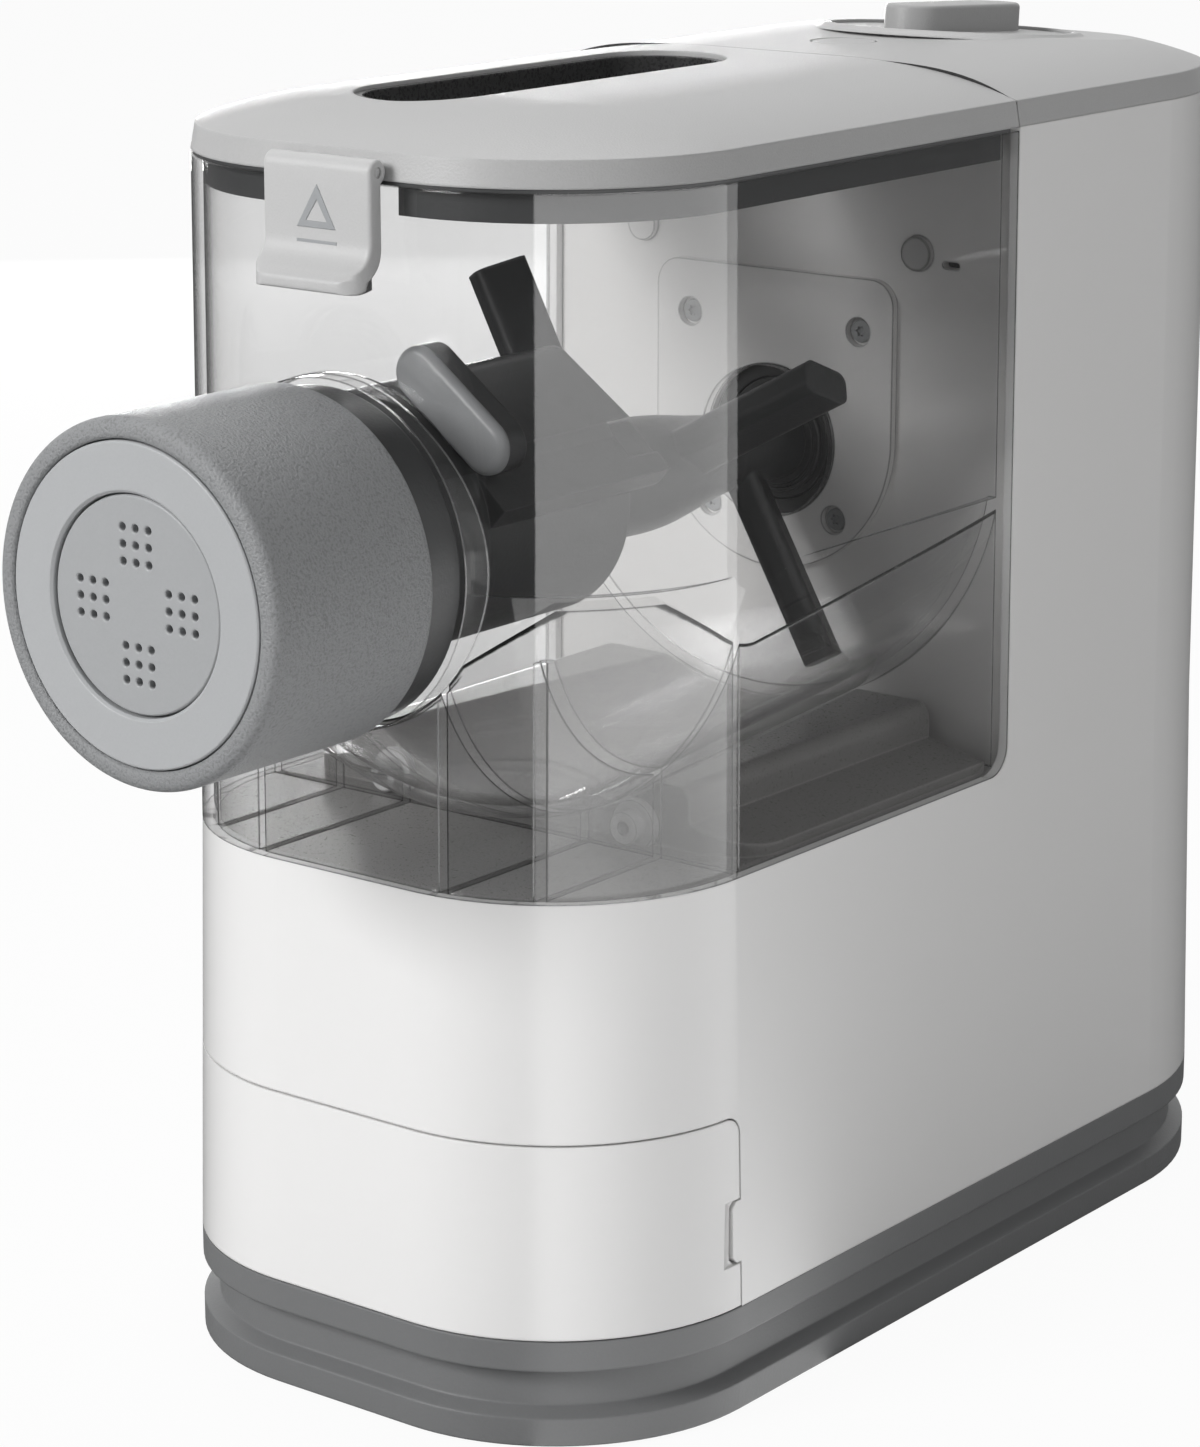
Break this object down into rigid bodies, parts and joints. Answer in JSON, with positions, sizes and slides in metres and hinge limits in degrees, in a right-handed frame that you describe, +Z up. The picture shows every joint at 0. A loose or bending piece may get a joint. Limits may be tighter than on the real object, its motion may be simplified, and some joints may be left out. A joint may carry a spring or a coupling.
{
  "type": "electric pasta maker",
  "caption": "Kitchen appliance with a rounded white housing, clear mixing tub, crowned grey lid, stirring rod, extruding die nut and storage drawer",
  "frame": {"origin": "On the floor, under the middle of the whole machine's bounding box.", "axes": "+Z up. The nose with the die nut points to -Y and the power inlet is at the +Y end. +X is to the right when looking from the nose to the rear. Every shaft of the drive is parallel to Y."},
  "size_m": [0.135, 0.3326, 0.2781],
  "materials": {
    "base_grey": "moulded grey, fine satin",
    "gloss_white": "glossy white moulding",
    "warm_grey": "light warm grey satin with fine grain",
    "clear_plastic": "clear, slightly smoky",
    "deck_grey": "white-grey satin",
    "charcoal": "dark charcoal, satin",
    "nut_grey": "sandblasted grey",
    "ring_grey": "smooth light grey",
    "tray_grey": "plain satin",
    "rubber_black": "matt",
    "steel": "turned",
    "sinter_bronze": "sintered bearing bronze",
    "gear_plastic": "acetal",
    "motor_steel": "zinc grey",
    "board_green": "printed board",
    "switch_black": "moulded"
  },
  "bodies": {
    "machine": {"base_tray": "base_grey", "rubber_feet": "rubber_black", "base_screws": "steel", "body_shell": "gloss_white", "deck_tray": "deck_grey", "tower_panel": "deck_grey", "drive_plate": "warm_grey", "drive_plate_screws": "steel", "drive_seal": "rubber_black", "gearbox_frame": "switch_black", "gearbox_cover": "switch_black", "output_bush_front": "sinter_bronze", "output_bush_rear": "sinter_bronze", "idler_pin": "steel", "motor_can": "motor_steel", "motor_stator": "motor_steel", "motor_cradle": "switch_black", "rear_cover": "warm_grey", "control_board": "board_green", "selector_switch": "switch_black", "start_switch": "switch_black", "interlock_switch": "switch_black", "power_inlet": "switch_black", "mixing_tub": "clear_plastic", "extruder_tube": "charcoal", "extruder_lug_face": "ring_grey"},
    "lid_body": {"lid": "warm_grey", "lid_skirt": "charcoal", "lid_liner": "warm_grey", "slot_frame": "charcoal", "latch_pin": "steel"},
    "latch_body": {"latch": "warm_grey"},
    "knob_body": {"selector_knob": "warm_grey"},
    "button_body": {"start_button": "warm_grey"},
    "interlock_body": {"interlock_plunger": "switch_black"},
    "drawer_body": {"drawer_front": "gloss_white", "drawer_tray": "tray_grey", "spare_disc_spaghetti": "ring_grey", "spare_disc_penne": "ring_grey", "spare_disc_macaroni": "ring_grey"},
    "nut_body": {"die_nut": "nut_grey", "face_ring": "ring_grey", "shaping_disc": "ring_grey"},
    "stirrer_body": {"stirring_rod": "charcoal", "output_shaft": "switch_black", "output_gear": "gear_plastic"},
    "idler_body": {"idler_gear": "gear_plastic"},
    "rotor_body": {"motor_rotor": "steel", "motor_pinion": "steel", "motor_fan": "switch_black"}
  },
  "joints": [
    {"name": "lid_lift", "type": "slide", "parent": "machine", "child": "lid_body", "axis": [0, 0, 1], "range_m": [0, 0.07]},
    {"name": "latch_swing", "type": "hinge", "parent": "lid_body", "child": "latch_body", "pos_m": [0, -0.11, 0.2614], "axis": [-1, 0, 0], "range_deg": [0, 14], "stiffness_Nm_per_rad": 0.05},
    {"name": "selector_turn", "type": "hinge", "parent": "machine", "child": "knob_body", "pos_m": [0, 0.11195, 0.2706], "axis": [0, 0.0698, 0.9976], "range_deg": [-90, 90]},
    {"name": "start_press", "type": "slide", "parent": "machine", "child": "button_body", "axis": [0, 0, -1], "range_m": [0, 0.0012], "stiffness_N_per_m": 900},
    {"name": "interlock_press", "type": "slide", "parent": "machine", "child": "interlock_body", "axis": [0, 1, 0], "range_m": [0, 0.001], "stiffness_N_per_m": 600},
    {"name": "drawer_slide", "type": "slide", "parent": "machine", "child": "drawer_body", "axis": [0, -1, 0], "range_m": [0, 0.088]},
    {"name": "nut_turn", "type": "hinge", "parent": "machine", "child": "nut_body", "pos_m": [0, -0.14, 0.184], "axis": [0, -1, 0], "range_deg": [0, 60]},
    {"name": "stirrer_spin", "type": "hinge", "parent": "machine", "child": "stirrer_body", "pos_m": [0, 0, 0.184], "axis": [0, 1, 0], "continuous": true},
    {"name": "idler_spin", "type": "hinge", "parent": "machine", "child": "idler_body", "pos_m": [0, 0.055, 0.142], "axis": [0, 1, 0], "continuous": true},
    {"name": "rotor_spin", "type": "hinge", "parent": "machine", "child": "rotor_body", "pos_m": [0, 0.1, 0.106], "axis": [0, 1, 0], "continuous": true}
  ],
  "couplings": [
    {"joint": "idler_spin", "follows": "stirrer_spin", "ratio": -3.6667},
    {"joint": "rotor_spin", "follows": "stirrer_spin", "ratio": 13.933}
  ]
}
